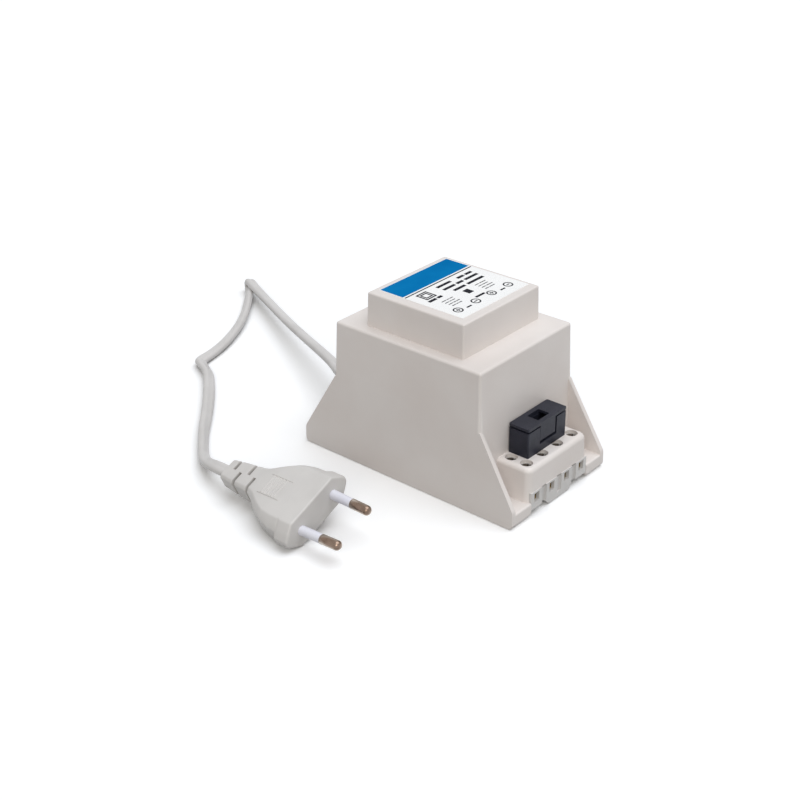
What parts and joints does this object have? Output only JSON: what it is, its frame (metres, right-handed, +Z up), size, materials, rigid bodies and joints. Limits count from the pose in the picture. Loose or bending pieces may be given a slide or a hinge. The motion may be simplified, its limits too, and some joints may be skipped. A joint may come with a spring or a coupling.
{
  "type": "step-down transformer",
  "caption": "Stepped plastic box with drafted walls, end flanges, screw terminals under a hood, a pull-out fuse holder and a mains lead with a flat plug; feeds low voltage to garden lights.",
  "frame": {"origin": "middle of the housing's underside", "axes": "+Z up out of the label, +Y along the housing towards the mains lead, terminals at -Y"},
  "size_m": [0.1645, 0.2443, 0.0737],
  "materials": {
    "housing_plastic": "warm off-white moulded plastic, satin",
    "label_film": "printed film, white with a blue band",
    "resin": "cast dark filler",
    "core_iron": "stacked electrical sheet",
    "bobbin_nylon": "natural nylon",
    "copper": "enamelled copper winding",
    "tape": "polyester tape",
    "black_case": "moulded black component case",
    "lead_pvc": "flexible wire insulation",
    "strip_plastic": "light grey moulded plastic",
    "brass": "turned brass and spring bronze",
    "screw_steel": "zinc plated steel",
    "fuse_plastic": "blue-black glass filled nylon",
    "fuse_glass": "clear glass tube",
    "nickel": "nickel plated brass",
    "cord_pvc": "flexible light grey insulation",
    "plug_plastic": "light grey flexible moulding",
    "sleeve_nylon": "white nylon sleeve"
  },
  "bodies": {
    "transformer": {"housing": "housing_plastic", "rating_label": "label_film", "potting_resin": "resin", "core_e_stack": "core_iron", "core_i_stack": "core_iron", "bobbin": "bobbin_nylon", "primary_winding": "copper", "winding_insulation": "tape", "secondary_winding": "copper", "thermal_cutout": "black_case", "bridge_rectifier": "black_case", "primary_leads": "lead_pvc", "secondary_leads": "lead_pvc", "output_leads": "lead_pvc", "terminal_strip": "strip_plastic", "terminal_tubes": "brass", "lead_screws": "screw_steel", "fuse_base": "fuse_plastic", "fuse_clip_left": "brass", "fuse_clip_right": "brass", "cord_relief": "cord_pvc", "mains_cord": "cord_pvc", "plug_body": "plug_plastic", "plug_pin_left": "nickel", "plug_pin_right": "nickel", "pin_sleeve_left": "sleeve_nylon", "pin_sleeve_right": "sleeve_nylon"},
    "fuse_pull": {"fuse_carrier": "fuse_plastic", "fuse_glass": "fuse_glass", "fuse_caps": "nickel", "fuse_wire": "screw_steel"},
    "screw_1": {"terminal_screw_1": "screw_steel"},
    "screw_2": {"terminal_screw_2": "screw_steel"},
    "screw_3": {"terminal_screw_3": "screw_steel"},
    "screw_4": {"terminal_screw_4": "screw_steel"}
  },
  "joints": [
    {"name": "fuse_carrier_pull", "type": "slide", "parent": "transformer", "child": "fuse_pull", "axis": [0, 0, 1], "range_m": [0, 0.015]},
    {"name": "screw_1_turn", "type": "hinge", "parent": "transformer", "child": "screw_1", "pos_m": [-0.01485, -0.04765, 0.015], "axis": [0, 0, 1], "continuous": true},
    {"name": "screw_2_turn", "type": "hinge", "parent": "transformer", "child": "screw_2", "pos_m": [-0.00495, -0.04765, 0.015], "axis": [0, 0, 1], "continuous": true},
    {"name": "screw_3_turn", "type": "hinge", "parent": "transformer", "child": "screw_3", "pos_m": [0.00495, -0.04765, 0.015], "axis": [0, 0, 1], "continuous": true},
    {"name": "screw_4_turn", "type": "hinge", "parent": "transformer", "child": "screw_4", "pos_m": [0.01485, -0.04765, 0.015], "axis": [0, 0, 1], "continuous": true}
  ]
}
